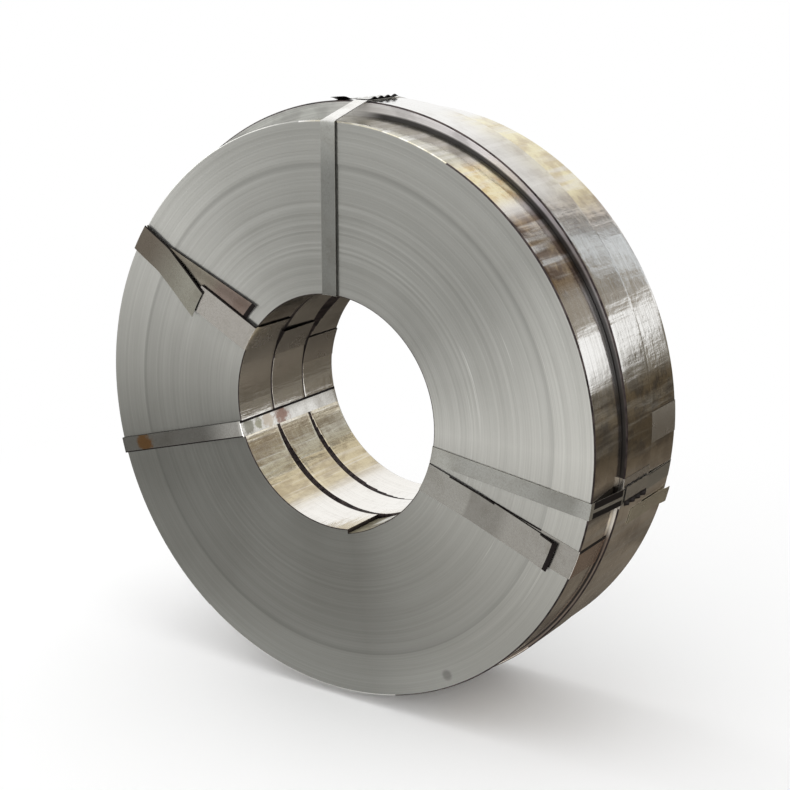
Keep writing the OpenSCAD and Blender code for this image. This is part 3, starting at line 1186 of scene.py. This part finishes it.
def make_lamp(name, at, size, power):
    data = bpy.data.lights.new(name, "AREA")
    data.shape = "RECTANGLE"
    data.size, data.size_y = size
    data.energy = power
    piece = bpy.data.objects.new(name, data)
    piece.location = at
    piece.rotation_mode = "QUATERNION"
    piece.rotation_quaternion = (Vector(LAMP_AIM) - Vector(at)).to_track_quat("-Z", "Y")
    scene.collection.objects.link(piece)


def make_stage():
    make_camera()
    make_world()
    make_floor()
    for name, lamp in LAMPS.items():
        make_lamp(name, *lamp)
    corner = (BACKDROP_LEFT, BACKDROP_Y, 0)
    reflection_card("backdrop", corner, (BACKDROP_WIDE, 0, 0), (0, 0, BACKDROP_HIGH), backdrop_glow())
    dusk = [
        (0.0, (104, 98, 90)), (0.23, (120, 113, 103)), (0.33, (108, 101, 91)),
        (0.5, (97, 91, 81)), (0.7, (104, 98, 88)), (0.85, (150, 147, 140)),
        (1.0, (200, 198, 194)),
    ]
    back = ground_glow("back_ground", 0.0, 3.0, dusk, left=0.05, right=0.42, dim=0.5, dirt=0.4)
    pale = [(0.0, (231, 230, 228)), (0.6, (211, 210, 207)), (1.0, (176, 174, 170))]
    front = ground_glow("front_ground", -5.0, -0.3, pale, left=-1.3, right=-0.2, dim=0.71)
    reflection_card("back_ground", (-3, -0.1, CARD_UP), (8, 0, 0), (0, 7, 0), back)
    reflection_card("front_ground", (-12, -14, CARD_UP), (16, 0, 0), (0, 13.7, 0), front)


def rim_steels():
    """Rolled steel of the front coil's rim, and of the other two, with tints round the coil that are partly
    painted reflection, and on the front rim a painted shadow under the right strap.
    """
    bright = (244, 243, 240)
    straw = ((250, 240, 200), (220, 190, 132))
    pale_straw = ((246, 238, 200), (220, 206, 172))
    hazel = ((172, 150, 122), (126, 106, 90))
    dull = ((196, 190, 168), (158, 152, 132))
    umber = ((164, 146, 116), (104, 92, 80))
    low_brown = ((240, 228, 210), (214, 198, 178))
    haze = ((196, 194, 188), (172, 169, 163))
    # Painted shadow under the right strap on the front coil's rim
    shadow_under_strap = ((62, 56, 52), (30, 28, 27))
    on_middle = (54, 44)
    front_tints_and_light = [
        Film(dull, 58, 98, 0.85), Film(straw, 48, 64, 1.0), Film(hazel, 28, 50, 1.0),
        Film(umber, -8, 14, 0.8), Film(low_brown, -70, 0, 0.7), Film(shadow_under_strap, -14, -5, 1.0),
    ]
    rear_tints_and_light = [
        Film(pale_straw, 42, 78, 1.0, (-30, 90)), Film(hazel, 38, 50, 0.5), Film(umber, -8, 14, 0.9),
        Film(haze, 23, 68, 0.4, on_middle), Film(haze, 11, 18, 0.45, on_middle), Film(low_brown, -70, 0, 0.7),
    ]
    front = rolled_steel("strip_rim_front", bright, front_tints_and_light, 0.002)
    return front, rolled_steel("strip_rim_rear", bright, rear_tints_and_light, 0.0035)


def bore_steel():
    """Rolled steel of the bore, with tints round the coil that are partly painted reflection, darker in the
    upper left near the front.
    """
    straw = ((240, 231, 204), (216, 202, 176))
    haze = ((214, 206, 186), (190, 180, 160))
    dusk = ((190, 182, 172), (160, 152, 146))
    amber = ((216, 202, 166), (190, 175, 142))
    tints_and_light = [
        Film(straw, 194, 246, 0.85), Film(haze, 192, 236, 0.8, (-60, 60)),
        Film(dusk, 80, 144, 0.9, (-42, -50)), Film(amber, 212, 250, 0.8),
    ]
    return rolled_steel("strip_bore", (246, 243, 237), tints_and_light, 0.002, soft=0.03)


def make_coils():
    front_rim, rear_rim = rim_steels()
    inside = [bore_steel(), edge_steel(), hollow_steel()]
    front = [face_steel("strip_edges", 0.9), front_rim, *inside]
    middle = [shaded_steel(), rear_rim, *inside]
    back = [face_steel("strip_edges_back", 0.5), rear_rim, *inside]
    coil_piece("coil_front", FRONT, front, FINE_TURNS, SEED, FRONT_LIPS, FRONT_DARK_LIP, hollow=HOLLOW_DEEP)
    coil_piece(
        "coil_middle", MIDDLE, middle, WIDE_TURNS, SEED + 1, MIDDLE_LIPS, MIDDLE_DARK_LIP, cuts=MIDDLE_CUTS
    )
    coil_piece("coil_back", BACK, back, FINE_TURNS, SEED + 2, BACK_LIPS, NO_DARK_LIP, cuts=BACK_CUTS)


def make_ties(dark):
    """The three tie straps, their loose tails and their seals."""
    # The straps are one steel, drawn as lighter and darker copies for how each catches the light, with
    # painted light and shade by radius; the top strap has a painted highlight where it bends over the front
    # coil's rim
    plain = strap_steel("strap_satin", (212, 211, 206), 0.22)
    grey = strap_steel("strap_grey_side", (206, 204, 198), 0.4)
    loose = strap_steel("strap_loose_end", (226, 222, 204), 0.24)
    top = strap_steel(
        "strap_top_satin", (155, 156, 152), 0.22, [(395, 478, (189, 190, 185)), (484, 492, (252, 251, 247))]
    )
    left = strap_steel(
        "strap_left_satin", (242, 241, 237), 0.22,
        [(203, 210, (212, 211, 207)), (216, 296, (140, 139, 135))], [RUST, *BORE_REFLECTIONS],
    )
    right = strap_steel(
        "strap_right_satin", (220, 221, 216), 0.22,
        [(215, 262, (204, 205, 201)), (330, 440, (184, 185, 181)), (455, 484, (208, 209, 205))],
    )
    satin = [plain, dark, dark]
    top_tail = strap_tail(
        "strap_top_tail", satin, direction=90.2, off=49.0, start=-46.0, end=-6.0,
        raised_start=6.0, raised_end=0.5,
    )
    right_tail = strap_tail(
        "strap_right_tail", [loose, loose, loose], direction=-15.2, off=0.0, start=5.0, end=146.0,
        raised_start=0.1, raised_end=3.0,
    )
    tie_strap("strap_top", 0.0, [top, grey, dark], [top_tail])
    tie_strap("strap_left", 0.0, [left, dark, dark])
    tie_strap("strap_right", BAND_T, [right, grey, dark], [right_tail])
    tie_seal("seal_top", "strap_top", 0.0, MIDDLE_SEAL_AT, satin)
    tie_seal("seal_left", "strap_left", 0.0, MIDDLE_SEAL_AT, satin)
    tie_seal("seal_right", "strap_right", BAND_T, RIGHT_SEAL_AT, satin)


def make_bands(dark):
    """The bands of the single coils."""
    # The bands' tones by radius are partly painted light and shade
    plain = strap_steel("band_satin", (222, 218, 212), 0.24)
    brown = strap_steel(
        "band_brown", (170, 154, 145), 0.26, [(290, 330, (184, 178, 164))], dark=(178, 160, 150)
    )
    tail = strap_steel("band_tail", (186, 184, 172), 0.26, [(350, 470, (136, 127, 116))])
    lower = strap_steel(
        "band_lower_satin", (200, 199, 194), 0.24,
        [(283, 290, (178, 176, 171)), (338, 370, (200, 198, 193)), (487, 488.3, (206, 184, 168))],
    )
    steels = [plain, dark, dark]
    coil_band("band_middle_upper", MIDDLE, MIDDLE_UPPER, steels, MIDDLE_BORE_GAP)
    coil_band("band_middle_lower", MIDDLE, MIDDLE_LOWER, steels, 0.0)
    coil_band("band_back_upper", BACK, BACK_UPPER, steels, BACK_BORE_GAP)
    coil_band("band_back_lower", BACK, BACK_LOWER, steels, 0.0)
    front_upper_band(brown, plain, tail, dark)
    front_lower_band(lower, dark)


make_stage()
make_coils()
# Painted shade: the undersides of straps and bands, and their dark edge lines, are drawn in this dark steel
underside = strap_steel("strap_underside", (48, 44, 44), 0.5)
make_ties(underside)
make_bands(underside)
